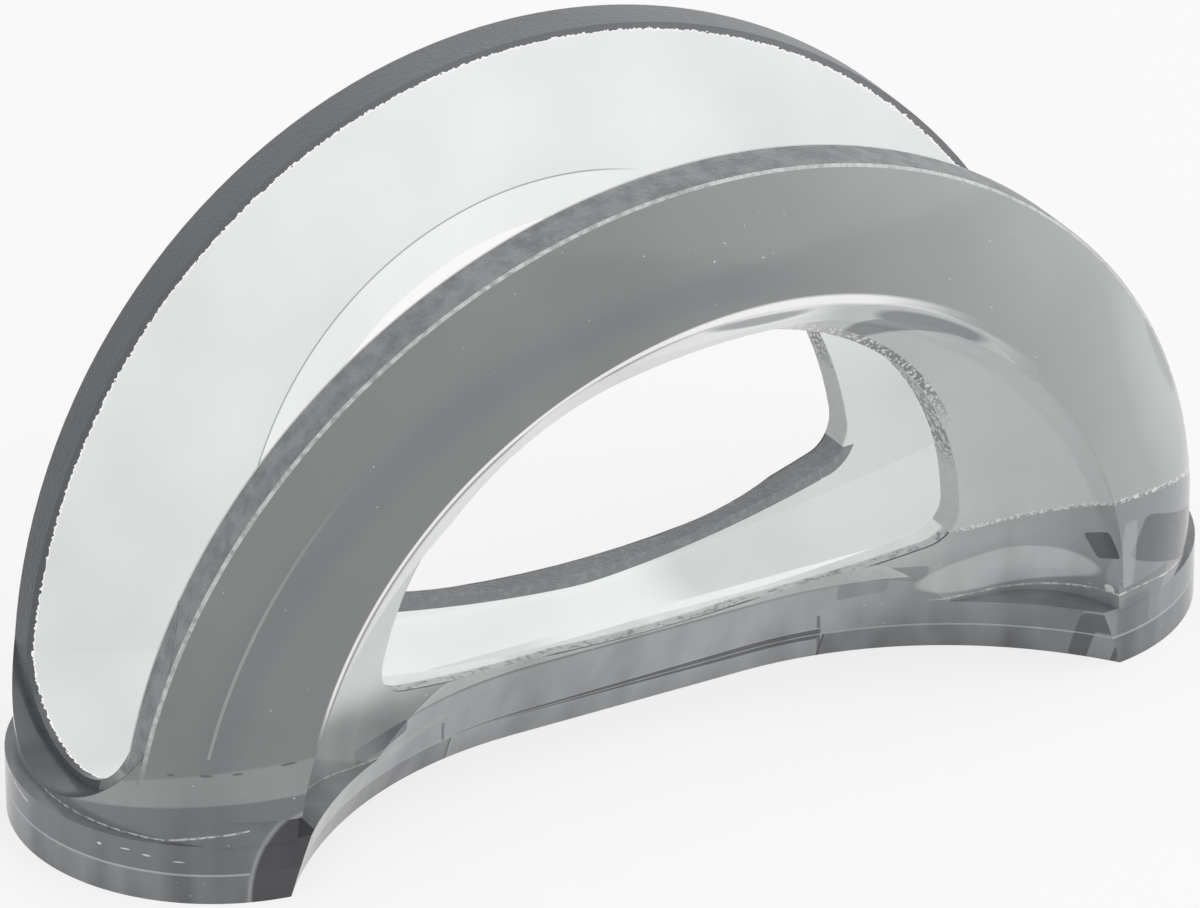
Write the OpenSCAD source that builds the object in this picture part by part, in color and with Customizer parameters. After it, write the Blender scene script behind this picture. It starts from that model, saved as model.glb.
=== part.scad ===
// Napkin holder: two leaning arched walls with a slot between them, and two bonded foot caps.
// Millimetres. X runs along the slot, Y through the walls, Z up; the origin is under the middle.

/* [Arch] */
// Height of the rim centre above the table
rim_centre_z = 7.5; // [7:0.1:8]
// Radius of the rim that runs over both walls
rim_r = 81.3; // [80.8:0.1:81.8]
// Outward lean of each wall, in degrees
wall_angle = 7; // [6:0.1:8]
// Height at which the leaning arch axis crosses the middle plane
arch_axis_z = 11; // [10:0.1:12]
// Distance of the flange centre from the arch axis
flange_centre_r = 57.5; // [56:0.1:58]
// Distance of the flange centre from the leaning middle plane
flange_centre_y = 1.5; // [1:0.1:2]
// Radius of the rounded outer face between rim and ridge
flange_r = 28.3; // [28:0.1:29]

/* [Slot] */
// Outward lean of the slot side of each wall, in degrees
slot_angle = 5.5; // [5:0.1:6]
// Half the gap at the arch axis
slot_half_gap = 6.7; // [6.4:0.1:7]
// Growth of half the gap for each unit of distance from the arch axis
slot_flare_share = 0.09; // [0.08:0.002:0.092]
// Height of the slot floor
slot_floor_z = 10.5; // [10.2:0.1:11]
// Radius of the rounded slot floor
slot_floor_r = 16.5; // [16:0.1:17]
// Radius of the foot of the rim face
land_r = 20.6; // [20.4:0.1:21]
// Drop from the slot floor to the foot of the rim face
land_drop = 1.1; // [0.9:0.1:1.3]

/* [Scooped faces] */
// Half the width of the base at its waist
waist_half = 4.3; // [4:0.1:4.6]
// Half the length of the straight waist
waist_flat_half = 18; // [16:0.5:20]
// Radius of the scoop at each side of the waist, in plan
waist_r = 60; // [59:0.5:61]
// Outward lean of the base faces, in degrees
base_angle = 24.2; // [23:0.1:25]
// Distance of the flat middle of the web from the leaning middle plane
web_flat_y = 10.8; // [10.6:0.1:11]
// Distance of the flared web from the leaning middle plane, carried in to the arch axis
web_y = 8.4; // [8.2:0.1:9]
// Growth of that distance for each unit of distance from the arch axis
web_flare_share = 0.155; // [0.15:0.001:0.16]
// Distance of the cove centre from the arch axis
cove_centre_r = 48.6; // [48:0.1:49]
// Radius of the cove under the arch
cove_r = 14.5; // [14:0.1:14.8]

/* [Window] */
// Radius of the arched top of the window
window_r = 44.4; // [44:0.1:44.8]
// Height of the window arch centre
window_centre_z = 19.6; // [19:0.1:20]
// Height of the window sill in the middle
sill_z = 14.2; // [13.8:0.1:14.4]
// Radius of the slight dip of the sill
sill_r = 200; // [180:5:220]
// Radius of the window's lower corners
window_corner_r = 5; // [4:0.1:6]

/* [Plinth] */
// Half the distance between the centres of the rounded ends
plinth_centre_x = 59.8; // [59:0.1:60.5]
// Radius of the rounded ends
plinth_r = 28.2; // [28:0.1:28.6]
// Height of the plinth
plinth_h = 8.6; // [8.2:0.1:8.8]
// Distance of the toe corners from the middle plane
toe_half = 28; // [27.8:0.1:28.2]
// Distance of the toe corners from the middle
toe_x = 65; // [64.5:0.1:65.5]
// Angle of the toe facets in plan, in degrees
toe_angle = 16; // [15:1:20]
// Height of the toe facets
toe_h = 12.5; // [12:0.1:13]

/* [Foot caps] */
// Thickness of each foot cap
cap_t = 4.2; // [4:0.1:4.4]
// Distance of the inner end of each cap from the middle
cap_inner_x = 28.7; // [28:0.1:30]
// Height of the plug that locates the cap in the body
plug_h = 2.5; // [2:0.1:2.5]
// Clearance round the plug
plug_clearance = 0.15; // [0.1:0.05:0.25]
// Wall left round the hollow in each end
hollow_wall = 3; // [2.8:0.1:3.2]
// Height of the shallow hollow under the slot floor
hollow_h = 7; // [6.9:0.1:7.2]
// Inner end of the hollow, from the middle
hollow_inner_x = 34; // [33:0.5:36]
// Height of the deep pockets in the four flange roots
pocket_h = 20; // [18:0.5:21]
// Wall left round the outside of the deep pockets
pocket_wall = 5; // [4.6:0.1:5.4]
// Distance of the deep pockets from the middle plane
pocket_inner_y = 17.8; // [17.6:0.1:18.2]
// Inner end of the deep pockets, from the middle
pocket_inner_x = 66; // [65.5:0.1:66.5]
// Height of the relief under the waist
relief_h = 4.2; // [4:0.1:4.4]
// Half the width of the relief under the waist
relief_half = 2.3; // [2.1:0.1:2.4]
// Half the length of the relief under the waist
relief_half_len = 25; // [23:0.5:26]

/* [Hidden] */
$fn = 96;
body_colour = [0.62, 0.63, 0.64, 0.5];
cap_colour = [0.56, 0.57, 0.58, 0.5];
// Size of the cutting and bounding shapes, well past every face
reach = 2 * (rim_r + flange_r);
waist_centre_y = waist_half + waist_r;
cove_foot_y = web_y + web_flare_share * cove_centre_r;
web_flat_r = (web_flat_y - web_y) / web_flare_share;
cove_centre_y = cove_foot_y + cove_r;
land_axis_z = slot_floor_z - land_drop + land_r;
slot_axis_z = slot_floor_z + slot_floor_r;
hollow_r = plinth_r - hollow_wall;
pocket_r = plinth_r - pocket_wall;
// The lower corner circle of the window touches the arch circle and the sill circle
sill_to_arch = sill_z + sill_r - window_centre_z;
corner_to_arch = window_r - window_corner_r;
corner_to_sill = sill_r - window_corner_r;
corner_rise = (pow(sill_to_arch, 2) + pow(corner_to_arch, 2) - pow(corner_to_sill, 2)) / (2 * sill_to_arch);
corner_x = sqrt(pow(corner_to_arch, 2) - pow(corner_rise, 2));
corner_z = window_centre_z + corner_rise;
sill_end_x = corner_x * sill_r / corner_to_sill;
arch_end_z = window_centre_z + corner_rise * window_r / corner_to_arch;

// Copies a front shape to the back as well.
module both_sides() {
    children();
    mirror([0, 1, 0]) children();
}

// Copies a shape at the right end to the left end as well.
module both_ends() {
    children();
    mirror([1, 0, 0]) children();
}

// Turns a flat profile (distance from the arch axis, distance from the middle)
// into the front wall's leaning solid of revolution.
module front_sweep(angle) {
    translate([0, 0, arch_axis_z])
        rotate([90 + angle, 0, 0])
            rotate_extrude() children();
}

// Profile of a wall with the rounded outer face, before the scoop is taken out.
module flange_profile() {
    translate([flange_centre_r, flange_centre_y]) circle(flange_r);
    translate([0, flange_centre_y - flange_r]) square([flange_centre_r, 2 * flange_r]);
}

// Profile of the space on the slot side of a wall.
module slot_profile() {
    polygon([
        [0, -reach],
        [reach, -reach],
        [reach, slot_half_gap + slot_flare_share * reach],
        [0, slot_half_gap]
    ]);
}

// Profile of the scoop under the arch: a leaning web face that turns into a cove.
module soffit_profile() {
    polygon([
        [0, web_flat_y],
        [web_flat_r, web_flat_y],
        [cove_centre_r, cove_foot_y],
        [cove_centre_r, reach],
        [0, reach]
    ]);
    translate([cove_centre_r, cove_centre_y]) circle(cove_r);
}

// Scoop under the arch of both walls, down to the top of the plinth.
module soffit_cut() {
    intersection() {
        both_sides() front_sweep(wall_angle) soffit_profile();
        translate([-reach, -reach, plinth_h]) cube([2 * reach, 2 * reach, reach]);
    }
}

// Trough along X with a rounded floor, open above.
module trough(axis_z, radius) {
    translate([-reach, 0, 0])
        rotate([90, 0, 90])
            linear_extrude(2 * reach) {
                translate([0, axis_z]) circle(radius);
                translate([-reach, axis_z]) square([2 * reach, reach]);
            }
}

// Space between the walls, with its rounded floor.
module slot_void() {
    intersection() {
        front_sweep(slot_angle) slot_profile();
        mirror([0, 1, 0]) front_sweep(slot_angle) slot_profile();
        trough(slot_axis_z, slot_floor_r);
    }
}

// Everything outside the rim circle, down to the rim face at the foot of the slot.
module rim_cut() {
    difference() {
        trough(land_axis_z, land_r);
        translate([0, reach, rim_centre_z]) rotate([90, 0, 0]) cylinder(h = 2 * reach, r = rim_r);
    }
}

// Plan of the scooped base face; grow moves it inwards to leave a wall.
module waist_plan(grow) {
    for (side = [-1, 1])
        translate([side * waist_flat_half, -waist_centre_y]) circle(waist_r + grow);
    translate([-waist_flat_half, -waist_centre_y]) square([2 * waist_flat_half, waist_r + grow]);
    translate([-reach, -waist_centre_y - reach]) square([2 * reach, reach]);
}

// Leaning cut that shapes the base faces.
module waist_cut(grow) {
    both_sides()
        rotate([base_angle, 0, 0])
            translate([0, 0, -reach]) linear_extrude(2 * reach) waist_plan(grow);
}

// Outline of the window.
module window_outline() {
    intersection() {
        translate([0, window_centre_z]) circle(window_r);
        translate([0, sill_z + sill_r]) circle(sill_r);
        union() {
            translate([-sill_end_x, 0]) square([2 * sill_end_x, reach]);
            translate([-reach, arch_end_z]) square([2 * reach, reach]);
            for (side = [-1, 1])
                translate([side * corner_x, corner_z]) circle(window_corner_r);
        }
    }
}

// Window through both walls.
module window_void() {
    translate([0, reach / 2, 0]) rotate([90, 0, 0]) linear_extrude(reach) window_outline();
}

// Rounded plinth, up to a given height.
module plinth_solid(height) {
    both_ends() translate([plinth_centre_x, 0, 0]) cylinder(h = height, r = plinth_r);
    translate([-plinth_centre_x, -plinth_r, 0]) cube([2 * plinth_centre_x, 2 * plinth_r, height]);
}

// Cuts the flat toe facets.
module toe_cut() {
    both_sides()
        both_ends()
            translate([toe_x, -toe_half, 0])
                rotate([0, 0, toe_angle])
                    translate([-reach, -reach, -reach]) cube([2 * reach, reach, reach + toe_h]);
}

// Outside of the whole holder.
module envelope() {
    intersection() {
        both_sides() front_sweep(wall_angle) flange_profile();
        translate([-reach, -reach, plinth_h]) cube([2 * reach, 2 * reach, reach]);
    }
    plinth_solid(plinth_h);
}

// Space of the right foot cap: everything under the seam beyond its inner end.
module cap_space() {
    translate([cap_inner_x, -reach, -reach]) cube([reach, 2 * reach, reach + cap_t]);
}

// Hollow of the right end, shrunk by a clearance for the plug that fits in it.
module hollow_shape(height, shrink) {
    difference() {
        intersection() {
            translate([plinth_centre_x, 0, 0]) cylinder(h = height, r = hollow_r - shrink);
            translate([hollow_inner_x + shrink, -reach, 0]) cube([reach, 2 * reach, height]);
        }
        waist_cut(hollow_wall + shrink);
    }
}

// Deep pockets of the right end, one at each side of the slot.
module pockets() {
    intersection() {
        translate([plinth_centre_x, 0, 0]) cylinder(h = pocket_h, r = pocket_r);
        both_sides() translate([pocket_inner_x, pocket_inner_y, 0]) cube([reach, reach, pocket_h]);
    }
}

// Relief under the waist, between the caps.
module waist_relief() {
    translate([-relief_half_len, -relief_half, -relief_h])
        cube([2 * relief_half_len, 2 * relief_half, 2 * relief_h]);
}

// The arched body with its slot, window and hollow ends.
module body() {
    color(body_colour)
        difference() {
            envelope();
            slot_void();
            rim_cut();
            soffit_cut();
            waist_cut(0);
            window_void();
            toe_cut();
            waist_relief();
            both_ends() {
                cap_space();
                hollow_shape(hollow_h, 0);
                pockets();
            }
        }
}

// The right foot cap: a plate with the outline of the plinth and a plug that locates it.
module foot_cap() {
    color(cap_colour) {
        difference() {
            intersection() {
                plinth_solid(cap_t);
                cap_space();
            }
            waist_cut(0);
            toe_cut();
        }
        hollow_shape(cap_t + plug_h, plug_clearance);
    }
}

body();
mirror([1, 0, 0]) foot_cap();  // left_foot_cap
foot_cap();  // right_foot_cap
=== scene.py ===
"""Napkin holder of smoky clear acrylic: looks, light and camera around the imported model."""

import math

import bpy
from mathutils import Matrix, Vector

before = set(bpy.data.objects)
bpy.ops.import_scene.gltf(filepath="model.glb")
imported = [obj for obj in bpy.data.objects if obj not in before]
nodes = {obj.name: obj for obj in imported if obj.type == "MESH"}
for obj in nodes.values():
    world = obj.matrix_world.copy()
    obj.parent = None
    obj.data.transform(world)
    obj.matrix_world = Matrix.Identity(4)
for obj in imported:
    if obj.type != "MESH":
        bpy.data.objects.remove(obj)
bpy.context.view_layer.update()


# Body: one heavy moulding of smoky clear acrylic, two arched walls on a cradle.
# The grey of the thick acrylic is painted reflection of the room, and the pale slot side is painted light
# that it lets through.
# Each tone sits where the real faces are, in millimetres on the part: rim, slot side, window, feet.
ARCH_AXIS = (0, 0, 11)
SLOT_LEAN = math.radians(5.5)
SLOT_HALF_GAP = 6.7
SLOT_FLARE = 0.09
SLOT_FLOOR_AXIS = (0, 0, 27)
SLOT_FLOOR_R = 16.5
WALL_LEAN = math.radians(7)
WEB_FLAT = 10.8
WEB_FOOT = 8.4
WEB_FLARE = 0.155
FLANGE_CENTRE = (57.5, 1.5, 0)
FLANGE_R = 28.3
RIM_AXIS = (0, 0, 7.5)
RIM_R = 81.3
WINDOW_AXIS = (0, 0, 19.6)
WINDOW_R = 44.4
SILL_AXIS = (0, 0, 214.2)
SILL_R = 200
CORNER_AXIS = (39.24, 0, 23.19)
CORNER_R = 5
LAND_AXIS = (0, 0, 30)
LAND_R = 20.6
FOOT_AXIS = (59.8, 0, 0)
FOOT_R = 28
PLINTH_H = 8.6
SEAM_Z = 4.2
SILL_Z = 13.9
TOE_EDGE = -FOOT_AXIS[0]
TOE_MIDDLE = -64.6
TOE_HALF_WIDTH = 4.5
FACE_TOLERANCE = 0.06
WALL_SKIN = 0.03
UNDERSIDE_NORMAL_Z = -0.15
ACRYLIC_IOR = 1.49


def linear(hex_colour):
    """The linear colour of an sRGB hex value."""
    parts = [int(hex_colour[i:i + 2], 16) / 255 for i in (1, 3, 5)]
    return [c / 12.92 if c <= 0.04045 else ((c + 0.055) / 1.055) ** 2.4 for c in parts] + [1.0]


def add(tree, kind, inputs=(), out=0, **settings):
    """Adds a node with its settings and links, and gives back one output, or the node for None."""
    new = tree.nodes.new("ShaderNode" + kind)
    for name, value in settings.items():
        setattr(new, name, value)
    named = inputs.items() if isinstance(inputs, dict) else enumerate(inputs)
    for key, value in named:
        if isinstance(value, bpy.types.NodeSocket):
            tree.links.new(value, new.inputs[key])
        else:
            new.inputs[key].default_value = value
    return new if out is None else new.outputs[out]


def empty_tree(owner):
    """The node tree of a material or a world, cleared."""
    owner.use_nodes = True
    owner.node_tree.nodes.clear()
    return owner.node_tree


def positions(tree):
    """Position in millimetres, the same folded into one quarter, and with the back half turned round."""
    place = add(tree, "TexCoord", out="Object")
    in_mm = add(tree, "VectorMath", [place, (1000, 1000, 1000)], operation="MULTIPLY")
    folded = add(tree, "VectorMath", [in_mm], operation="ABSOLUTE")
    x, y, z = add(tree, "SeparateXYZ", [in_mm], out=None).outputs
    half_y = add(tree, "SeparateXYZ", [folded], out="Y")
    front = add(tree, "Math", [y, 0.0], operation="LESS_THAN")
    turn = add(tree, "MapRange", [front, 0.0, 1.0, -1.0, 1.0])
    along = add(tree, "Math", [x, turn], operation="MULTIPLY")
    return in_mm, folded, add(tree, "CombineXYZ", [along, half_y, z])


def reflection_streaks(tree, in_mm):
    """A noise drawn out upwards, for streaks of painted reflection in the acrylic."""
    place = add(tree, "VectorMath", [in_mm, (0.16, 0.16, 0.03)], operation="MULTIPLY")
    return add(tree, "TexNoise", {"Vector": place, "Scale": 1.0, "Detail": 2.0, "Roughness": 0.5})


def beside_toe(tree, along):
    """Everything but the facet of the toe."""
    on_toe = add(tree, "Math", [along, TOE_MIDDLE, TOE_HALF_WIDTH], operation="COMPARE")
    return add(tree, "Math", [1.0, on_toe], operation="SUBTRACT")


acrylic = bpy.data.materials.new("smoky clear acrylic, moulded and polished")
tree = empty_tree(acrylic)

# Positions; the back half is turned round, so that both walls carry the same tones.
in_mm, folded, turned = positions(tree)
x, y, z = add(tree, "SeparateXYZ", [in_mm], out=None).outputs
half_x, half_y, _ = add(tree, "SeparateXYZ", [folded], out=None).outputs
along = add(tree, "SeparateXYZ", [turned], out="X")
normal_z = add(tree, "SeparateXYZ", [add(tree, "TexCoord", out="Normal")], out="Z")
front = add(tree, "Math", [y, 0.0], operation="LESS_THAN")
behind = add(tree, "Math", [y, 0.0], operation="GREATER_THAN")
flat = add(tree, "VectorMath", [in_mm, (1, 0, 1)], operation="MULTIPLY")
rim_out = add(tree, "VectorMath", [flat, RIM_AXIS], out="Value", operation="DISTANCE")
window_out = add(tree, "VectorMath", [flat, WINDOW_AXIS], out="Value", operation="DISTANCE")
endways = add(tree, "VectorMath", [in_mm, (0, 1, 1)], operation="MULTIPLY")
folded_flat = add(tree, "VectorMath", [folded, (1, 0, 1)], operation="MULTIPLY")
folded_plan = add(tree, "VectorMath", [folded, (1, 1, 0)], operation="MULTIPLY")
floor_out = add(tree, "VectorMath", [endways, SLOT_FLOOR_AXIS], out="Value", operation="DISTANCE")
land_out = add(tree, "VectorMath", [endways, LAND_AXIS], out="Value", operation="DISTANCE")

# Depth under the slot face and under the outer web, each in the lean of its own wall face.
slot_place = add(tree, "VectorRotate", {"Vector": folded, "Center": ARCH_AXIS, "Angle": SLOT_LEAN},
                 rotation_type="X_AXIS")
slot_across = add(tree, "SeparateXYZ", [slot_place], out="Y")
slot_flat = add(tree, "VectorMath", [slot_place, (1, 0, 1)], operation="MULTIPLY")
slot_out = add(tree, "VectorMath", [slot_flat, ARCH_AXIS], out="Value", operation="DISTANCE")
slot_face = add(tree, "Math", [slot_out, SLOT_FLARE, SLOT_HALF_GAP], operation="MULTIPLY_ADD")
slot_depth = add(tree, "Math", [slot_across, slot_face], operation="SUBTRACT")
wall_place = add(tree, "VectorRotate", {"Vector": folded, "Center": ARCH_AXIS, "Angle": WALL_LEAN},
                 rotation_type="X_AXIS")
wall_across = add(tree, "SeparateXYZ", [wall_place], out="Y")
wall_flat = add(tree, "VectorMath", [wall_place, (1, 0, 1)], operation="MULTIPLY")
wall_out = add(tree, "VectorMath", [wall_flat, ARCH_AXIS], out="Value", operation="DISTANCE")
web_face = add(tree, "Math", [wall_out, WEB_FLARE, WEB_FOOT], operation="MULTIPLY_ADD")
web_face = add(tree, "Math", [web_face, WEB_FLAT], operation="MAXIMUM")
web_depth = add(tree, "Math", [web_face, wall_across], operation="SUBTRACT")
flange_place = add(tree, "CombineXYZ", [wall_out, wall_across, 0.0])
flange_out = add(tree, "VectorMath", [flange_place, FLANGE_CENTRE], out="Value", operation="DISTANCE")

# Noises: chips and nicks of the trimmed edges, blisters of the reveals, streaks of painted reflection,
# haze, specks and the dots of the parting line.
chips = add(tree, "TexNoise", {"Vector": in_mm, "Scale": 0.9, "Detail": 3.0, "Roughness": 0.62})
nicks = add(tree, "TexNoise", {"Vector": in_mm, "Scale": 1.7, "Detail": 2.0, "Roughness": 0.6})
chip_shift = add(tree, "Math", [nicks, 1.1, -0.55], operation="MULTIPLY_ADD")
wobble = add(tree, "TexNoise", {"Vector": in_mm, "Scale": 0.35, "Detail": 2.0, "Roughness": 0.6},
             out="Color")
wobble_tone = add(tree, "SeparateColor", [wobble])
wobbled_mm = add(tree, "VectorMath", [wobble, (3.0, 3.0, 3.0), in_mm], operation="MULTIPLY_ADD")
blisters = add(tree, "TexVoronoi", {"Vector": wobbled_mm, "Scale": 1.5, "Randomness": 1.0})
streaks = reflection_streaks(tree, in_mm)
haze = add(tree, "TexNoise", {"Vector": in_mm, "Scale": 0.045, "Detail": 2.0, "Roughness": 0.45})
specks = add(tree, "TexNoise", {"Vector": in_mm, "Scale": 1.5, "Detail": 1.0, "Roughness": 0.4})
dots = add(tree, "TexNoise", {"Vector": in_mm, "Scale": 1.9, "Detail": 1.0, "Roughness": 0.5})
is_dot = add(tree, "MapRange", [dots, 0.47, 0.56, 0.0, 1.0])
is_chip = add(tree, "MapRange", [chips, 0.5, 0.62, 0.0, 1.0])

# Faces of the part, as masks. The pale panel of the slot side ends just inside the chipped rim.
PANEL_INSET = 0.9
PANEL_LINE = 0.22
RIM_FOOT_FRONT = 16.5
RIM_FOOT_SLOT = 9.0
SLOT_FRONT = -8.2
MIDDLE_HALF = 28.0
above_floor = add(tree, "Math", [z, SLOT_FLOOR_AXIS[2]], operation="GREATER_THAN")
near_floor = add(tree, "Math", [floor_out, SLOT_FLOOR_R + FACE_TOLERANCE], operation="LESS_THAN")
in_slot = add(tree, "Math", [above_floor, near_floor], operation="MAXIMUM")
slot_shell = add(tree, "Math", [slot_depth, FACE_TOLERANCE], operation="LESS_THAN")
on_slot_side = add(tree, "Math", [slot_shell, in_slot], operation="MULTIPLY")
land_shell = add(tree, "Math", [land_out, LAND_R, 0.07], operation="COMPARE")
past_rim = add(tree, "Math", [rim_out, RIM_R - 0.05], operation="GREATER_THAN")
on_land = add(tree, "Math", [land_shell, past_rim], operation="MULTIPLY")
jagged_rim = add(tree, "Math", [rim_out, chip_shift], operation="ADD")
inside_rim = add(tree, "Math", [jagged_rim, RIM_R - PANEL_INSET], operation="LESS_THAN")
well_inside_rim = add(tree, "Math", [jagged_rim, RIM_R - PANEL_INSET - PANEL_LINE], operation="LESS_THAN")
on_panel = add(tree, "Math", [on_slot_side, inside_rim], operation="MULTIPLY")
panel_line = add(tree, "Math", [inside_rim, well_inside_rim], operation="SUBTRACT")
foot_of_rim = add(tree, "MapRange", [y, -9.0, -7.0, RIM_FOOT_FRONT, RIM_FOOT_SLOT])
above_toe = add(tree, "Math", [z, foot_of_rim], operation="GREATER_THAN")
rim_shell = add(tree, "Math", [rim_out, RIM_R, 0.08], operation="COMPARE")
on_rim = add(tree, "Math", [rim_shell, above_toe], operation="MULTIPLY")
slot_deep = add(tree, "Math", [slot_depth, WALL_SKIN], operation="GREATER_THAN")
web_deep = add(tree, "Math", [web_depth, WALL_SKIN], operation="GREATER_THAN")
near_window = add(tree, "Math", [window_out, WINDOW_R + 0.12], operation="LESS_THAN")
above_sill = add(tree, "Math", [z, SILL_Z], operation="GREATER_THAN")
in_wall = add(tree, "Math", [slot_deep, web_deep], operation="MULTIPLY")
in_wall = add(tree, "Math", [in_wall, near_window], operation="MULTIPLY")
on_reveal = add(tree, "Math", [in_wall, above_sill], operation="MULTIPLY")
up_facing = add(tree, "Math", [normal_z, 0.6], operation="GREATER_THAN")
on_sill = add(tree, "Math", [on_reveal, up_facing], operation="MULTIPLY")
before_slot = add(tree, "Math", [y, SLOT_FRONT], operation="LESS_THAN")
at_left = add(tree, "MapRange", [along, -52.0, -60.0, 0.0, 1.0])
at_right = add(tree, "MapRange", [along, 38.0, 44.0, 0.0, 1.0])
near_middle = add(tree, "MapRange", [half_x, MIDDLE_HALF + 0.4, MIDDLE_HALF, 0.0, 1.0])

# Outside: a grey brightened towards the right by painted light, with broad soft bands round the flange: a
# band of painted shade on it, and painted light on the web and coves under it.
# A colour mix has its share as input 0, its colours as inputs 6 and 7, and its colour as output 2.
sweep = add(tree, "MapRange", [along, -30.0, 95.0, 0.0, 1.0], interpolation_type="SMOOTHSTEP")
outside = add(tree, "Mix", {0: sweep, 6: linear("#868889"), 7: linear("#b4b6b7")},
              out=2, data_type="RGBA")
arch_out = add(tree, "VectorMath", [flat, ARCH_AXIS], out="Value", operation="DISTANCE")
low_band_at = add(tree, "Math", [along, 0.07, rim_out], operation="MULTIPLY_ADD")
low_band_in = add(tree, "MapRange", [low_band_at, 66.0, 69.0, 0.0, 1.0], interpolation_type="SMOOTHSTEP")
low_band_end = add(tree, "MapRange", [low_band_at, 70.0, 73.0, 1.0, 0.0], interpolation_type="SMOOTHSTEP")
low_band = add(tree, "Math", [low_band_in, low_band_end], operation="MULTIPLY")
left_side = add(tree, "MapRange", [along, -5.0, 20.0, 1.0, 0.0], interpolation_type="SMOOTHSTEP")
low_band = add(tree, "Math", [low_band, left_side], operation="MULTIPLY")
low_band = add(tree, "Math", [low_band, 0.4], operation="MULTIPLY")
web_shell = add(tree, "Math", [web_depth, -FACE_TOLERANCE], operation="GREATER_THAN")
flange_shell = add(tree, "Math", [flange_out, FLANGE_R - 0.12], operation="GREATER_THAN")
high_up = add(tree, "MapRange", [z, 12.0, 24.0, 0.0, 1.0], interpolation_type="SMOOTHSTEP")
under_flange = add(tree, "Math", [1.0, flange_shell], operation="SUBTRACT")
in_cove = add(tree, "Math", [under_flange, high_up], operation="MULTIPLY")
left_cove = add(tree, "MapRange", [along, -12.0, -30.0, 0.0, 1.0], interpolation_type="SMOOTHSTEP")
left_cove = add(tree, "Math", [in_cove, left_cove], operation="MULTIPLY")
cove_foot = add(tree, "MapRange", [z, 15.5, 22.5, 0.0, 0.9], interpolation_type="SMOOTHSTEP")
left_cove = add(tree, "Math", [left_cove, cove_foot], operation="MULTIPLY")
right_web = add(tree, "Math", [in_cove, 0.95], operation="MULTIPLY")
off_web = add(tree, "Math", [1.0, web_shell], operation="SUBTRACT")
right_cove = add(tree, "MapRange", [along, 26.0, 46.0, 0.0, 1.0], interpolation_type="SMOOTHSTEP")
right_cove = add(tree, "Math", [right_cove, off_web], operation="MULTIPLY")
right_cove = add(tree, "Math", [right_cove, in_cove], operation="MULTIPLY")

# The lip of the flange: a painted highlight streak at the top, and a pale band of painted light under it
# on the left.
LIP_R = 62.3
LIP_Y = 29.0
on_flange = add(tree, "Math", [half_y, LIP_Y], operation="GREATER_THAN")
near_lip = add(tree, "MapRange", [arch_out, LIP_R - 0.7, LIP_R - 0.3, 1.0, 0.0])
near_lip = add(tree, "Math", [near_lip, on_flange], operation="MULTIPLY")
left_lip = add(tree, "MapRange", [along, 6.0, 16.0, 1.0, 0.0], interpolation_type="SMOOTHSTEP")
high_lip = add(tree, "MapRange", [z, 22.0, 32.0, 0.0, 1.0], interpolation_type="SMOOTHSTEP")
left_lip = add(tree, "Math", [left_lip, high_lip], operation="MULTIPLY")
left_lip = add(tree, "Math", [left_lip, near_lip], operation="MULTIPLY")
right_lip = add(tree, "MapRange", [along, 34.0, 48.0, 1.0, 0.0], interpolation_type="SMOOTHSTEP")
right_lip = add(tree, "Math", [right_lip, near_lip], operation="MULTIPLY")
streak_width = add(tree, "MapRange", [along, -25.0, 14.0, 0.22, 0.62], interpolation_type="SMOOTHSTEP")
streak_off = add(tree, "Math", [arch_out, LIP_R], operation="SUBTRACT")
streak_off = add(tree, "Math", [streak_off], operation="ABSOLUTE")
streak_off = add(tree, "Math", [streak_off, streak_width], operation="DIVIDE")
lip_highlight = add(tree, "MapRange", [streak_off, 0.7, 1.3, 1.0, 0.0])
lip_highlight = add(tree, "Math", [lip_highlight, on_flange], operation="MULTIPLY")
streak_end = add(tree, "MapRange", [along, 16.0, 38.0, 1.0, 0.0], interpolation_type="SMOOTHSTEP")
lip_highlight = add(tree, "Math", [lip_highlight, streak_end], operation="MULTIPLY")
lip_highlight = add(tree, "Math", [lip_highlight, high_lip], operation="MULTIPLY")

# A painted light line that shows the curve inside the left end, and a patchy painted highlight along the
# outer edge of the rim.
CURVE_R = 75.4
curve_light_line = add(tree, "Math", [rim_out, CURVE_R, 0.17], operation="COMPARE")
curve_fade = add(tree, "MapRange", [z, 62.0, 40.0, 0.0, 0.3])
curve_light_line = add(tree, "Math", [curve_light_line, curve_fade], operation="MULTIPLY")
curve_light_line = add(tree, "Math", [curve_light_line, at_left], operation="MULTIPLY")
curve_foot = add(tree, "Math", [z, 22.0], operation="GREATER_THAN")
curve_light_line = add(tree, "Math", [curve_light_line, curve_foot], operation="MULTIPLY")
rim_edge = add(tree, "Math", [rim_out, RIM_R - 0.2, 0.25], operation="COMPARE")
flange_edge = add(tree, "Math", [flange_out, FLANGE_R - 0.5], operation="GREATER_THAN")
rim_line = add(tree, "Math", [rim_edge, flange_edge], operation="MULTIPLY")
rim_start = add(tree, "MapRange", [z, 17.0, 24.0, 0.0, 1.0])
rim_line = add(tree, "Math", [rim_line, rim_start], operation="MULTIPLY")
rim_line_tone = add(tree, "MapRange", [chips, 0.35, 0.6, 0.25, 0.9])
rim_line = add(tree, "Math", [rim_line, rim_line_tone], operation="MULTIPLY")

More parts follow.
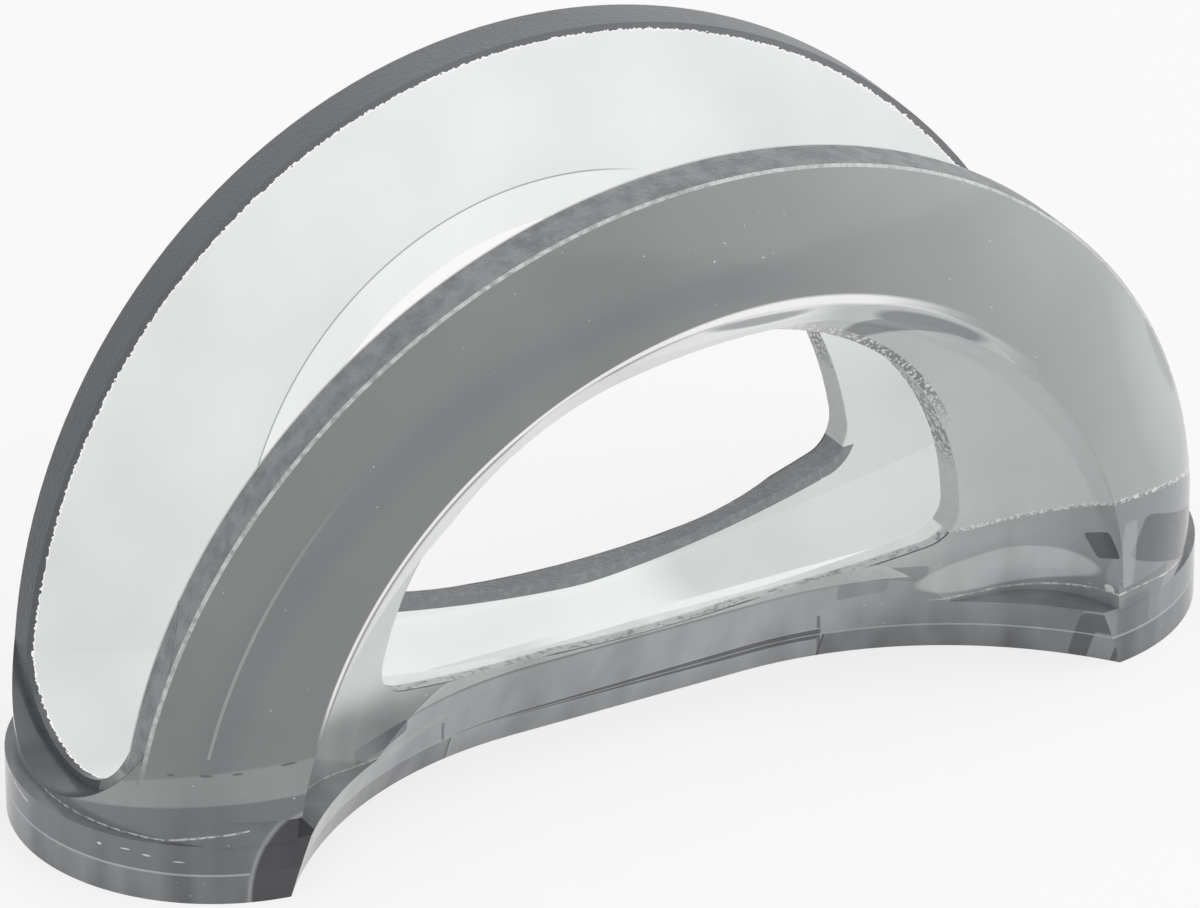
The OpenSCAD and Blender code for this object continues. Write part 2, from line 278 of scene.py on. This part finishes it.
# The dotted parting line inside the right end, and the darker acrylic below it.
PARTING_RISE = 0.47
PARTING_Z = 12.4
parting_at = add(tree, "Math", [half_y, -PARTING_RISE, z], operation="MULTIPLY_ADD")
parting = add(tree, "Math", [parting_at, PARTING_Z, 0.32], operation="COMPARE")
parting = add(tree, "Math", [parting, is_dot], operation="MULTIPLY")
parting = add(tree, "Math", [parting, at_right], operation="MULTIPLY")
below_parting = add(tree, "MapRange", [parting_at, PARTING_Z - 0.1, PARTING_Z + 0.1, 1.0, 0.0])
below_parting = add(tree, "Math", [below_parting, at_right], operation="MULTIPLY")
below_parting = add(tree, "Math", [below_parting, 0.7], operation="MULTIPLY")

# The pale band on the left foot, and the dark below it.
FOOT_BAND_RISE = 0.34
FOOT_BAND_TOP = 11.0
FOOT_DARK_RISE = 0.24
FOOT_DARK_TOP = 8.8
foot_band_at = add(tree, "Math", [half_y, -FOOT_BAND_RISE, z], operation="MULTIPLY_ADD")
foot_band = add(tree, "MapRange", [foot_band_at, FOOT_BAND_TOP, FOOT_BAND_TOP + 0.4, 1.0, 0.0])
foot_band = add(tree, "Math", [foot_band, at_left], operation="MULTIPLY")
foot_band = add(tree, "Math", [foot_band, 0.55], operation="MULTIPLY")
foot_dark_at = add(tree, "Math", [half_y, -FOOT_DARK_RISE, z], operation="MULTIPLY_ADD")
foot_dark = add(tree, "MapRange", [foot_dark_at, FOOT_DARK_TOP, FOOT_DARK_TOP + 0.3, 1.0, 0.0])
foot_dark = add(tree, "Math", [foot_dark, at_left], operation="MULTIPLY")

# The scratched line at the plinth's top, which rises towards the walls, and the seam of the caps.
plinth_rise = add(tree, "MapRange", [half_y, 20.5, 28.0, 0.25, 2.6])
right_rise = add(tree, "Math", [half_y, 0.13, -1.35], operation="MULTIPLY_ADD")
to_right = add(tree, "Math", [along, 0.0], operation="GREATER_THAN")
plinth_rise = add(tree, "Mix", {0: to_right, 2: plinth_rise, 3: right_rise}, data_type="FLOAT")
plinth_at = add(tree, "Math", [z, plinth_rise], operation="SUBTRACT")
plinth_at = add(tree, "Math", [chip_shift, 0.2, plinth_at], operation="MULTIPLY_ADD")
plinth_line = add(tree, "Math", [plinth_at, PLINTH_H, 0.15], operation="COMPARE")
is_scratch = add(tree, "MapRange", [chips, 0.4, 0.56, 0.1, 1.0])
not_middle = add(tree, "MapRange", [half_x, 40.0, 44.0, 0.0, 0.85])
plinth_line = add(tree, "Math", [plinth_line, not_middle], operation="MULTIPLY")
plinth_line = add(tree, "Math", [plinth_line, is_scratch], operation="MULTIPLY")
seam_line = add(tree, "Math", [z, SEAM_Z + 0.1, 0.1], operation="COMPARE")
off_toe = beside_toe(tree, along)
seam_line = add(tree, "Math", [seam_line, off_toe], operation="MULTIPLY")
seam_line = add(tree, "Math", [seam_line, 0.8], operation="MULTIPLY")
plinth_line = add(tree, "Math", [plinth_line, off_toe], operation="MULTIPLY")
off_top = add(tree, "MapRange", [normal_z, 0.3, 0.5, 1.0, 0.0])
plinth_line = add(tree, "Math", [plinth_line, off_top], operation="MULTIPLY")

# The scooped base: its down-facing faces, lightened by painted light against their shade, its right end,
# the step beside each cap, and at its foot a painted shadow in the recess, a painted glint above it and a
# pale band below.
BASE_TOP = 13.4
BASE_SHADOW_Z = 4.4
STEP_X = 29.2
STEP_LEAN = 0.25
STEP_TOP = 8.2
base_slope = add(tree, "Math", [normal_z, -0.3], operation="LESS_THAN")
below_top = add(tree, "Math", [z, BASE_TOP], operation="LESS_THAN")
on_base = add(tree, "Math", [base_slope, below_top], operation="MULTIPLY")
base_end = add(tree, "MapRange", [along, 29.0, 40.0, 0.0, 0.9])
base_end = add(tree, "Math", [base_end, on_base], operation="MULTIPLY")
step_at = add(tree, "Math", [z, STEP_LEAN, along], operation="MULTIPLY_ADD")
step_at = add(tree, "Math", [step_at], operation="ABSOLUTE")
step_line = add(tree, "Math", [step_at, STEP_X, 0.26], operation="COMPARE")
step_low = add(tree, "Math", [z, STEP_TOP], operation="LESS_THAN")
step_line = add(tree, "Math", [step_line, step_low], operation="MULTIPLY")
step_line = add(tree, "Math", [step_line, 0.7], operation="MULTIPLY")
shadow_width = add(tree, "MapRange", [along, -28.0, 16.0, 0.12, 0.95])
base_recess_shadow = add(tree, "Math", [z, BASE_SHADOW_Z, shadow_width], operation="COMPARE")
base_recess_shadow = add(tree, "Math", [base_recess_shadow, near_middle], operation="MULTIPLY")
glint_at = add(tree, "Math", [z, shadow_width], operation="SUBTRACT")
base_glint = add(tree, "Math", [glint_at, BASE_SHADOW_Z + 0.15, 0.13], operation="COMPARE")
base_glint = add(tree, "Math", [base_glint, near_middle], operation="MULTIPLY")
base_glint = add(tree, "Math", [base_glint, 0.8], operation="MULTIPLY")
base_low = add(tree, "MapRange", [z, 3.6, 2.6, 0.0, 0.7])
base_low = add(tree, "Math", [base_low, near_middle], operation="MULTIPLY")

# The dark middle of each end face, the tops of the plinth, and specks in the acrylic.
end_face = add(tree, "MapRange", [half_y, 11.0, 2.0, 0.0, 1.0], interpolation_type="SMOOTHSTEP")
end_far = add(tree, "MapRange", [half_x, 74.0, 80.0, 0.0, 1.0])
end_face = add(tree, "Math", [end_face, end_far], operation="MULTIPLY")
low_top = add(tree, "Math", [normal_z, 0.4], operation="GREATER_THAN")
under_sill = add(tree, "Math", [z, SILL_Z], operation="LESS_THAN")
low_top = add(tree, "Math", [low_top, under_sill], operation="MULTIPLY")
low_top = add(tree, "Math", [low_top, 0.8], operation="MULTIPLY")
speck = add(tree, "MapRange", [specks, 0.795, 0.81, 0.0, 0.6])

# Tones over the grey of the outside, each over the one before.
tones = [
    # A band of painted shade round the flange.
    (low_band, "#77797b"),
    # Painted light on the web and coves under the flange.
    (right_web, "#cbcdce"),
    (right_cove, "#cacccd"),
    (left_cove, "#e6e8e8"),
    # Painted light and a painted highlight streak on the lip of the flange.
    (right_lip, "#c6c8c9"),
    (left_lip, "#edeeee"),
    (lip_highlight, "#fbfbfb"),
    (foot_band, "#a3a5a6"),
    (foot_dark, "#797b7e"),
    (below_parting, "#85878a"),
    (end_face, "#7d7f82"),
    (low_top, "#7b7d80"),
    # Painted light on the down-facing faces of the base.
    (on_base, "#abadaf"),
    (base_end, "#777a7c"),
    (step_line, "#56585b"),
    # A painted shadow in the recess of the base, with a painted glint above it.
    (base_recess_shadow, "#5f6164"),
    (base_glint, "#b6b8b9"),
    (base_low, "#a5a7a9"),
]
colour = outside
for mask, hex_colour in tones:
    colour = add(tree, "Mix", {0: mask, 6: colour, 7: linear(hex_colour)}, out=2, data_type="RGBA")

# Painted lights and darks, that the thick acrylic bends into view: the middle, half size and turn of each
# in degrees, the softness, the strength and the tone. The painted lights and darks of the toes and of the
# scooped ends run on over the foot caps. The blocks and the scooped ends have square corners, the toes
# and the rounds are round.
TOE_LIGHT_AND_SHADE = [
    ((-60, 29, 0), (9.8, 9, 14.1), (0, 0, 0), 0.05, 0.75, "#a9abac"),
    ((-60, 29, 0), (9.3, 9, 13.4), (0, 0, 0), 0.05, 1.0, "#4b4c4f"),
]
END_LIGHT_AND_SHADE = [
    ((61, 26, 2.6), (2.3, 4, 5.6), (0, 0, 0), 0.25, 0.85, "#55575a"),
    ((61.7, 26, 1.8), (1.1, 4, 3.0), (0, 0, 0), 0.4, 0.8, "#9a9c9e"),
]
BLOCKS = [
    ((73, 22, 15.9), (9, 12, 3.4), (0, 27, 0), 0.2, 0.85, "#626467"),
    ((63.4, 30, 17.5), (1.3, 6, 5.5), (0, 0, 0), 0.6, 0.5, "#b4b6b7"),
    ((61.2, 26.8, 18.2), (3.5, 2.4, 2.0), (21.8, 0, 0), 0.15, 0.9, "#56585b"),
    ((36.4, 14.2, 14.6), (4.4, 4, 1.2), (0, 8, 0), 0.35, 0.75, "#636568"),
    ((32.2, 12.4, 12.6), (3.4, 4, 1.6), (0, -6, 0), 0.4, 0.5, "#6d6f72"),
    ((66, 30, 6.4), (3, 4, 3.4), (0, 0, 0), 0.5, 0.4, "#6b6d70"),
    ((-43.4, 15, 11.2), (4.5, 4, 1.35), (0, -14, 0), 0.3, 0.95, "#5f6164"),
    ((-37.5, 13, 8.6), (6.5, 4, 0.5), (0, -10, 0), 0.5, 0.6, "#b9bbbc"),
]
ROUNDS = [
    ((-53, 18, 9), (9, 9, 6), (0, 0, 0), 0.9, 0.6, "#b4b6b7"),
    ((44, 15, 30), (20, 9, 22), (0, 0, 0), 0.9, 0.35, "#d0d2d2"),
    ((12, 27, 63), (20, 4.6, 9), (0, 0, 4), 0.5, 0.8, "#cdcfcf"),
    ((29, 27.6, 60.5), (8.8, 2.1, 7), (0, 0, 32.6), 0.2, 0.9, "#808285"),
    ((28.5, 35, 63.4), (9.5, 3.5, 1.5), (0, 27, 0), 0.25, 0.9, "#86888b"),
    ((1.5, 36, 71.9), (7.5, 3, 0.55), (0, 3, 0), 0.4, 0.8, "#95979a"),
    ((51.5, 18, 12.9), (12.8, 12, 2.9), (0, -4, 0), 0.1, 0.9, "#c3c5c6"),
    ((47, 16.2, 18.3), (9, 4, 1.6), (0, -3, 0), 0.8, 0.35, "#b9bbbc"),
    ((62.5, 26.8, 11.3), (0.9, 0.9, 0.55), (0, 0, 0), 0.3, 0.9, "#e2e3e3"),
    ((73, 23, 43), (2.3, 4, 7.5), (0, -24, 0), 0.3, 0.7, "#7a7c7e"),
    ((69, 27, 41), (5, 6, 13), (0, -20, 0), 0.9, 0.5, "#c4c6c7"),
    ((-77.8, 21.6, 19.1), (0.4, 0.7, 0.17), (0, 0, 0), 0.4, 0.8, "#5d5f62"),
    ((-74.3, 24.8, 19.5), (0.8, 1.1, 0.2), (0, -8, 0), 0.4, 0.8, "#5d5f62"),
    ((-70.8, 26.9, 20.0), (0.7, 1.0, 0.18), (0, -8, 0), 0.4, 0.8, "#5d5f62"),
    ((-64.8, 29.9, 21.2), (1.1, 1.0, 0.2), (0, -8, 0), 0.4, 0.8, "#5d5f62"),
    ((-84.4, 13.6, 6.8), (0.25, 0.4, 0.2), (0, 0, 0), 0.4, 0.9, "#e6e7e7"),
    ((-82.3, 16.9, 7.0), (0.6, 0.8, 0.09), (0, -6, 0), 0.4, 0.9, "#e6e7e7"),
    ((-80.4, 19.2, 6.6), (0.5, 0.7, 0.13), (0, 6, 0), 0.4, 0.8, "#e6e7e7"),
    ((-77.2, 22.2, 6.15), (0.8, 0.8, 0.09), (0, 0, 0), 0.4, 0.9, "#e6e7e7"),
]


def patches(tree, spot, where, colour, marks, square):
    """Lays soft patches over the colour where the mask allows, with square corners or round ones."""
    for middle, size, turned_by, soft, strength, hex_colour in marks:
        angles = [math.radians(a) for a in turned_by]
        inside = add(tree, "Mapping", [spot, middle, angles, size], vector_type="TEXTURE")
        if square:
            inside = add(tree, "VectorMath", [inside, inside], operation="MULTIPLY")
            inside = add(tree, "VectorMath", [inside, inside], operation="MULTIPLY")
        spread = add(tree, "VectorMath", [inside, inside], out="Value", operation="DOT_PRODUCT")
        mask = add(tree, "MapRange", [spread, 1 - soft, 1 + soft, strength, 0.0])
        mask = add(tree, "Math", [mask, where], operation="MULTIPLY")
        colour = add(tree, "Mix", {0: mask, 6: colour, 7: linear(hex_colour)}, out=2, data_type="RGBA")
    return colour


def foot_light_and_shade(tree, spot, along, normal_z, colour):
    """Lays the painted darks of the toe facets and of the scooped ends over the colour."""
    outer_face = add(tree, "Math", [normal_z, UNDERSIDE_NORMAL_Z], operation="GREATER_THAN")
    inner_face = add(tree, "Math", [1.0, outer_face], operation="SUBTRACT")
    past_edge = add(tree, "Math", [along, TOE_EDGE], operation="LESS_THAN")
    toe_face = add(tree, "Math", [outer_face, past_edge], operation="MULTIPLY")
    colour = patches(tree, spot, toe_face, colour, TOE_LIGHT_AND_SHADE, False)
    return patches(tree, spot, inner_face, colour, END_LIGHT_AND_SHADE, True)


colour = patches(tree, turned, 1.0, colour, BLOCKS, True)
colour = patches(tree, turned, 1.0, colour, ROUNDS, False)
colour = foot_light_and_shade(tree, turned, along, normal_z, colour)

# Tones of the window's reveal and sill, of the rim and of the panel on the slot side.
reveal_arch = add(tree, "MapRange", [blisters, 0.3, 0.55, 0.0, 0.9])
reveal_tone = add(tree, "Mix", {0: reveal_arch, 6: linear("#e0e1e1"), 7: linear("#7b7d80")},
                  out=2, data_type="RGBA")
high_reveal = add(tree, "MapRange", [z, 30.0, 34.0, 0.0, 1.0])
reveal_tone = add(tree, "Mix", {0: high_reveal, 6: linear("#c3c5c6"), 7: reveal_tone},
                  out=2, data_type="RGBA")
back_sill = add(tree, "Mix", {0: is_chip, 6: linear("#7d7f81"), 7: linear("#888a8c")},
                out=2, data_type="RGBA")
front_sill = add(tree, "Mix", {0: is_chip, 6: linear("#c9cbcc"), 7: linear("#9a9c9e")},
                 out=2, data_type="RGBA")
sill_tone = add(tree, "Mix", {0: front, 6: back_sill, 7: front_sill}, out=2, data_type="RGBA")
rim_sweep = add(tree, "MapRange", [x, -80.0, 40.0, 0.0, 1.0])
back_rim = add(tree, "Mix", {0: rim_sweep, 6: linear("#5e6063"), 7: linear("#7b7d80")},
               out=2, data_type="RGBA")
mottle = add(tree, "MapRange", [wobble_tone, 0.35, 0.62, 0.0, 1.0])
front_rim = add(tree, "Mix", {0: mottle, 6: linear("#787a7d"), 7: linear("#8f9193")},
                out=2, data_type="RGBA")
rim_tone = add(tree, "Mix", {0: before_slot, 6: back_rim, 7: front_rim}, out=2, data_type="RGBA")
panel_sweep = add(tree, "MapRange", [z, 10.0, 80.0, 0.0, 1.0])
floor_shade = add(tree, "MapRange", [x, -10.0, 55.0, 0.0, 1.0])
floor_low = add(tree, "MapRange", [z, 26.0, 40.0, 1.0, 0.0])
floor_shade = add(tree, "Math", [floor_shade, floor_low], operation="MULTIPLY")
panel = add(tree, "Mix", {0: panel_sweep, 6: linear("#dcdede"), 7: linear("#ebecec")},
            out=2, data_type="RGBA")
panel = add(tree, "Mix", {0: floor_shade, 6: panel, 7: linear("#cfd1d1")}, out=2, data_type="RGBA")

# The pale band round the window on the panel, with a thin grey line at its outside.
WINDOW_BAND = 5.3
band_side = add(tree, "MapRange", [along, -6.0, -16.0, 1.0, 0.0], interpolation_type="SMOOTHSTEP")
window_band = add(tree, "MapRange",
                  [window_out, WINDOW_R + WINDOW_BAND - 0.3, WINDOW_R + WINDOW_BAND, 1.0, 0.0])
window_band = add(tree, "Math", [window_band, band_side], operation="MULTIPLY")
window_band_line = add(tree, "Math", [window_out, WINDOW_R + WINDOW_BAND, 0.1], operation="COMPARE")
window_band_line = add(tree, "Math", [window_band_line, band_side], operation="MULTIPLY")

# Edges of the window and the inner edge of the rim; the pale lines along them are painted highlights.
EDGE_WIDTH = 0.34
RIM_EDGE_WIDTH = 0.22
slot_edge = add(tree, "Math", [slot_depth, EDGE_WIDTH], operation="LESS_THAN")
slot_edge = add(tree, "Math", [on_reveal, slot_edge], operation="MULTIPLY")
off_sill = add(tree, "Math", [1.0, on_sill], operation="SUBTRACT")
slot_edge = add(tree, "Math", [slot_edge, off_sill], operation="MULTIPLY")
web_edge = add(tree, "Math", [web_depth, EDGE_WIDTH], operation="LESS_THAN")
web_edge = add(tree, "Math", [on_reveal, web_edge], operation="MULTIPLY")
sill_edge = add(tree, "Math", [web_edge, up_facing], operation="MULTIPLY")
arch_edge = add(tree, "Math", [web_edge, sill_edge], operation="SUBTRACT")
rim_inner = add(tree, "Math", [slot_depth, RIM_EDGE_WIDTH], operation="LESS_THAN")
rim_inner = add(tree, "Math", [on_rim, rim_inner], operation="MULTIPLY")
rim_inner = add(tree, "Math", [rim_inner, before_slot], operation="MULTIPLY")
rim_inner = add(tree, "Math", [rim_inner, rim_start], operation="MULTIPLY")

# The blistered reveal seen through the web over the window's arch, painted on the web as a refraction.
REFRACTED_REVEAL_WIDTH = 1.25
top_band = add(tree, "Math", [window_out, WINDOW_R + REFRACTED_REVEAL_WIDTH], operation="LESS_THAN")
band_up = add(tree, "MapRange", [z, 38.0, 46.0, 0.0, 1.0])
top_band = add(tree, "Math", [top_band, band_up], operation="MULTIPLY")
top_band = add(tree, "Math", [top_band, under_flange], operation="MULTIPLY")
band_start = add(tree, "MapRange", [along, -30.0, -10.0, 0.0, 1.0])
top_band = add(tree, "Math", [top_band, band_start], operation="MULTIPLY")
band_fade = add(tree, "MapRange", [along, 10.0, 26.0, 0.0, 1.0])
band_tone = add(tree, "Mix", {0: band_fade, 6: linear("#f4f4f4"), 7: reveal_tone},
                out=2, data_type="RGBA")

# The dark band under the back window's sill and its corners, and the pale inner part of the front sill.
SILL_BAND_MIDDLE = 0.7
SILL_BAND_HALF = 0.8
sill_out = add(tree, "VectorMath", [flat, SILL_AXIS], out="Value", operation="DISTANCE")
corner_out = add(tree, "VectorMath", [folded_flat, CORNER_AXIS], out="Value", operation="DISTANCE")
by_sill = add(tree, "MapRange", [half_x, CORNER_AXIS[0], CORNER_AXIS[0] + 0.1, 1.0, 0.0])
below_sill = add(tree, "Math", [sill_out, SILL_R + SILL_BAND_MIDDLE, SILL_BAND_HALF], operation="COMPARE")
below_sill = add(tree, "Math", [below_sill, by_sill], operation="MULTIPLY")
by_corner = add(tree, "Math", [corner_out, CORNER_R + SILL_BAND_MIDDLE, SILL_BAND_HALF],
                operation="COMPARE")
past_sill = add(tree, "Math", [1.0, by_sill], operation="SUBTRACT")
by_corner = add(tree, "Math", [by_corner, past_sill], operation="MULTIPLY")
below_sill = add(tree, "Math", [below_sill, by_corner], operation="MAXIMUM")
below_sill = add(tree, "Math", [below_sill, behind], operation="MULTIPLY")
below_sill = add(tree, "Math", [below_sill, on_slot_side], operation="MULTIPLY")
sill_low = add(tree, "Math", [z, CORNER_AXIS[2] - 3.0], operation="LESS_THAN")
below_sill = add(tree, "Math", [below_sill, sill_low], operation="MULTIPLY")
inner_sill = add(tree, "MapRange", [web_depth, 1.7, 2.1, 0.0, 1.0])
inner_sill = add(tree, "Math", [inner_sill, on_sill], operation="MULTIPLY")
inner_sill = add(tree, "Math", [inner_sill, front], operation="MULTIPLY")

# The pale edge where the land between the walls meets the foot, and the masks of the slot side.
foot_out = add(tree, "VectorMath", [folded_plan, FOOT_AXIS], out="Value", operation="DISTANCE")
land_edge = add(tree, "Math", [foot_out, FOOT_R - 0.2], operation="GREATER_THAN")
land_edge = add(tree, "Math", [land_edge, on_land], operation="MULTIPLY")
land_edge = add(tree, "Math", [land_edge, 0.8], operation="MULTIPLY")
dark_slot_side = add(tree, "Math", [on_slot_side, on_land], operation="MAXIMUM")
panel_line = add(tree, "Math", [panel_line, on_slot_side], operation="MULTIPLY")
on_window_band = add(tree, "Math", [on_panel, window_band], operation="MULTIPLY")
on_band_line = add(tree, "Math", [on_panel, window_band_line], operation="MULTIPLY")

# Lines, window, rim and slot side, each over the one before.
faces = [
    # A painted light line showing the curve inside the left end.
    (curve_light_line, linear("#d3d5d5")),
    (parting, linear("#e0e1e1")),
    (plinth_line, linear("#dfe0e0")),
    (seam_line, linear("#bcbebf")),
    (speck, linear("#f0f0f0")),
    # The reveal seen through the web, painted as a refraction.
    (top_band, band_tone),
    (on_reveal, reveal_tone),
    (on_sill, sill_tone),
    (inner_sill, panel),
    (sill_edge, linear("#5a5c5f")),
    # Painted highlights along the window's arch and slot side edges, then along the rim's outer and inner
    # edges.
    (arch_edge, linear("#c8caca")),
    (slot_edge, linear("#f2f3f3")),
    (rim_line, linear("#d6d8d8")),
    (on_rim, rim_tone),
    (rim_inner, linear("#eceded")),
    (dark_slot_side, back_rim),
    (land_edge, linear("#d9dbdb")),
    (on_panel, panel),
    (on_window_band, linear("#f1f2f2")),
    (on_band_line, linear("#a9abac")),
    (panel_line, linear("#fbfbfb")),
    (below_sill, back_sill),
]
for mask, tone in faces:
    colour = add(tree, "Mix", {0: mask, 6: colour, 7: tone}, out=2, data_type="RGBA")

# Streaks of painted reflection low down and a faint haze everywhere, on all but the slot side.
streak_tone = add(tree, "MapRange", [streaks, 0.3, 0.7, 0.8, 1.16])
low_down = add(tree, "MapRange", [z, 6.0, 26.0, 1.0, 0.0])
streak_tone = add(tree, "Mix", {0: low_down, 2: 1.0, 3: streak_tone}, data_type="FLOAT")
haze_tone = add(tree, "MapRange", [haze, 0.3, 0.7, 0.95, 1.05])
tone = add(tree, "Math", [streak_tone, haze_tone], operation="MULTIPLY")
tone = add(tree, "Mix", {0: on_panel, 2: tone, 3: haze_tone}, data_type="FLOAT")
colour = add(tree, "VectorMath", {0: colour, "Scale": tone}, operation="SCALE")

# Trimmed edges are rough and nicked. The panel glows a little, for the pale light that it lets through.
PANEL_GLOW = 0.66
rough_patch = add(tree, "Math", [on_reveal, on_rim], operation="MAXIMUM")
soft_patch = add(tree, "Math", [rough_patch, on_panel], operation="MAXIMUM")
roughness = add(tree, "MapRange", [soft_patch, 0.0, 1.0, 0.15, 0.42])
bump_strength = add(tree, "MapRange", [rough_patch, 0.0, 1.0, 0.02, 0.55])
bump = add(tree, "Bump", {"Strength": bump_strength, "Distance": 0.0006, "Height": nicks})
panel_shown = add(tree, "Math", [on_panel, inner_sill], operation="MAXIMUM")
glow = add(tree, "MapRange", [panel_shown, 0.0, 1.0, 0.0, PANEL_GLOW])
shown = add(tree, "MapRange", [panel_shown, 0.0, 1.0, 1.0, 1 - PANEL_GLOW])
solid_colour = add(tree, "VectorMath", {0: colour, "Scale": shown}, operation="SCALE")
shader = add(tree, "BsdfPrincipled", {
    "Base Color": solid_colour,
    "Roughness": roughness,
    "IOR": ACRYLIC_IOR,
    "Specular IOR Level": 0.4,
    "Normal": bump,
    "Emission Color": colour,
    "Emission Strength": glow,
})
add(tree, "OutputMaterial", [shader], out=None)

nodes["body"].data.materials.clear()
nodes["body"].data.materials.append(acrylic)


# Foot caps: plates of the same acrylic, bonded under each end, with a pale glue line at the top.
# The caps look darker than the body, with streaks of painted reflection and the painted dark toe facets
# that run on from it.
CAP_INNER = 28.7
GLUE_WIDTH = 0.12
cap_acrylic = bpy.data.materials.new("smoky clear acrylic of the foot caps")
tree = empty_tree(cap_acrylic)
in_mm, folded, turned = positions(tree)
half_x = add(tree, "SeparateXYZ", [folded], out="X")
along = add(tree, "SeparateXYZ", [turned], out="X")
z = add(tree, "SeparateXYZ", [in_mm], out="Z")
normal_z = add(tree, "SeparateXYZ", [add(tree, "TexCoord", out="Normal")], out="Z")
glue = add(tree, "Math", [z, SEAM_Z - GLUE_WIDTH], operation="GREATER_THAN")
glue = add(tree, "Math", [glue, beside_toe(tree, along)], operation="MULTIPLY")
glue = add(tree, "Math", [glue, 0.7], operation="MULTIPLY")
inner_end = add(tree, "Math", [half_x, CAP_INNER + 0.35], operation="LESS_THAN")
inner_end = add(tree, "Math", [inner_end, 0.8], operation="MULTIPLY")
chips = add(tree, "TexNoise", {"Vector": in_mm, "Scale": 1.4, "Detail": 3.0, "Roughness": 0.6})
nick = add(tree, "MapRange", [chips, 0.7, 0.74, 0.0, 0.7])
tone = add(tree, "MapRange", [reflection_streaks(tree, in_mm), 0.3, 0.7, 0.0, 1.0])
colour = add(tree, "Mix", {0: tone, 6: linear("#696b6e"), 7: linear("#929496")}, out=2, data_type="RGBA")
for mask, hex_colour in [(nick, "#c3c5c6"), (glue, "#bcbebf"), (inner_end, "#4c4e51")]:
    colour = add(tree, "Mix", {0: mask, 6: colour, 7: linear(hex_colour)}, out=2, data_type="RGBA")
colour = foot_light_and_shade(tree, turned, along, normal_z, colour)
shader = add(tree, "BsdfPrincipled", {"Base Color": colour, "Roughness": 0.16, "IOR": ACRYLIC_IOR})
add(tree, "OutputMaterial", [shader], out=None)
for name in ("left_foot_cap", "right_foot_cap"):
    nodes[name].data.materials.clear()
    nodes[name].data.materials.append(cap_acrylic)


# Studio: a plain pale floor, a white surround and broad soft lamps.
# The floor and the surround are white to straight, mirrored and refracted rays only.
FLOOR_SIZE = 4
FLOOR_WHITE = 0.75
SURROUND_LIGHT = 0.62


def straight_rays(tree):
    """The rays that show the floor or the surround, straight, mirrored or refracted."""
    seen = add(tree, "LightPath", out=None).outputs
    straight = add(tree, "Math", [seen["Is Camera Ray"], seen["Is Glossy Ray"]], operation="MAXIMUM")
    return add(tree, "Math", [straight, seen["Is Transmission Ray"]], operation="MAXIMUM")


bpy.ops.object.select_all(action="DESELECT")
bpy.ops.mesh.primitive_plane_add(size=FLOOR_SIZE)
floor = bpy.context.object
floor.name = "floor"
paper = bpy.data.materials.new("pale paper floor")
tree = empty_tree(paper)
share = add(tree, "Math", [straight_rays(tree), FLOOR_WHITE], operation="MULTIPLY")
matt = add(tree, "BsdfDiffuse", {"Color": linear("#f6f6f6")})
white = add(tree, "Emission", {"Color": (1, 1, 1, 1), "Strength": 1.0})
add(tree, "OutputMaterial", [add(tree, "MixShader", [share, matt, white])], out=None)
floor.data.materials.append(paper)

world = bpy.data.worlds.new("studio")
bpy.context.scene.world = world
tree = empty_tree(world)
strength = add(tree, "MapRange", [straight_rays(tree), 0.0, 1.0, SURROUND_LIGHT, 1.0])
surround = add(tree, "Background", {"Color": (1, 1, 1, 1), "Strength": strength})
add(tree, "OutputWorld", [surround], out=None)

# Each lamp: its name, where it stands in metres, its size and its power in watts.
LAMP_AIM = Vector((0, 0, 0.04))
LAMPS = [
    ("key", (0.55, -0.35, 0.85), 1.3, 4.5),
    ("fill", (-0.8, -0.5, 0.5), 1.5, 1.8),
]
for name, stand, size, power in LAMPS:
    bpy.ops.object.light_add(type="AREA", location=stand)
    lamp = bpy.context.object
    lamp.name = name
    lamp.data.size = size
    lamp.data.energy = power
    lamp.rotation_euler = (LAMP_AIM - Vector(stand)).to_track_quat("-Z", "Y").to_euler()

# The camera, as fitted to the photo.
PHOTO_WIDTH = 1200
SENSOR_WIDTH = 36
CAMERA_AIM = Vector((0, 0, 0.045))
AZIMUTH = math.radians(29.50)
ELEVATION = math.radians(28.03)
DISTANCE = 1.420
FOCAL_PX = 10656.5
AIM_RIGHT = -0.00141
AIM_UP = -0.00808
forward = Vector((
    math.sin(AZIMUTH) * math.cos(ELEVATION),
    math.cos(AZIMUTH) * math.cos(ELEVATION),
    -math.sin(ELEVATION),
))
right = Vector((math.cos(AZIMUTH), -math.sin(AZIMUTH), 0))
up = right.cross(forward)
eye = CAMERA_AIM + right * AIM_RIGHT + up * AIM_UP - forward * DISTANCE
bpy.ops.object.camera_add()
camera = bpy.context.object
camera_turn = Matrix((right, up, -forward)).transposed()
camera.matrix_world = Matrix.Translation(eye) @ camera_turn.to_4x4()
camera.data.sensor_width = SENSOR_WIDTH
camera.data.lens = SENSOR_WIDTH * FOCAL_PX / PHOTO_WIDTH
camera.data.clip_end = 20
bpy.context.scene.camera = camera
bpy.context.scene.view_settings.view_transform = "Standard"
